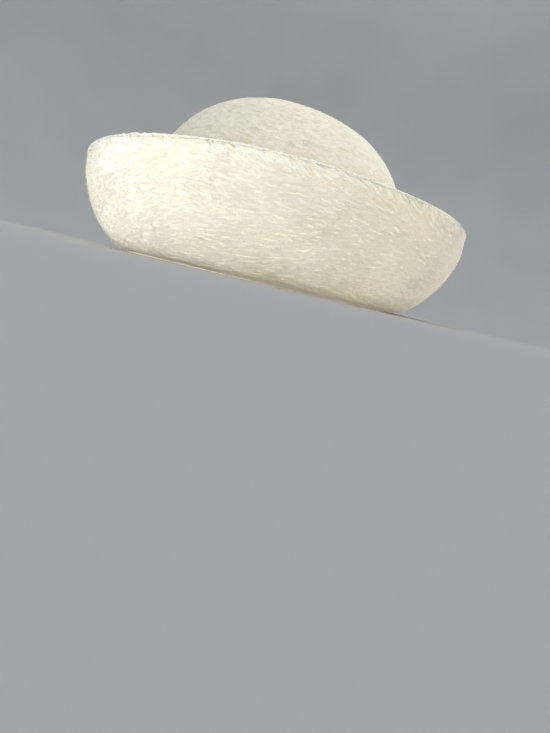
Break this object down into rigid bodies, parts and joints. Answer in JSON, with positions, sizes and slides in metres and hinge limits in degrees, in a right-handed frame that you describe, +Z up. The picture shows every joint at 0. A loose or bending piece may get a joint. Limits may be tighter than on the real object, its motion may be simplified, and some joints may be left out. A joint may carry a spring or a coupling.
{
  "type": "cloche hat with a turned-up brim",
  "caption": "Round-crowned long-nap felt hat with a tall brim turned up all the way round, hollow to take a head.",
  "frame": {"origin": "centre of the bounding box in plan, on the resting plane: the flat foot of the brim where it turns up round the head opening", "axes": "+Z up through the top of the crown; the wearer faces -Y; +X towards the wearer's left"},
  "size_m": [0.2522, 0.286, 0.1172],
  "materials": {
    "brim_felt": "long-nap ivory fur felt, nap brushed round the brim",
    "crown_felt": "long-nap ivory fur felt, plain felt inside"
  },
  "bodies": {
    "root": {"brim": "brim_felt", "crown": "crown_felt"}
  },
  "joints": []
}
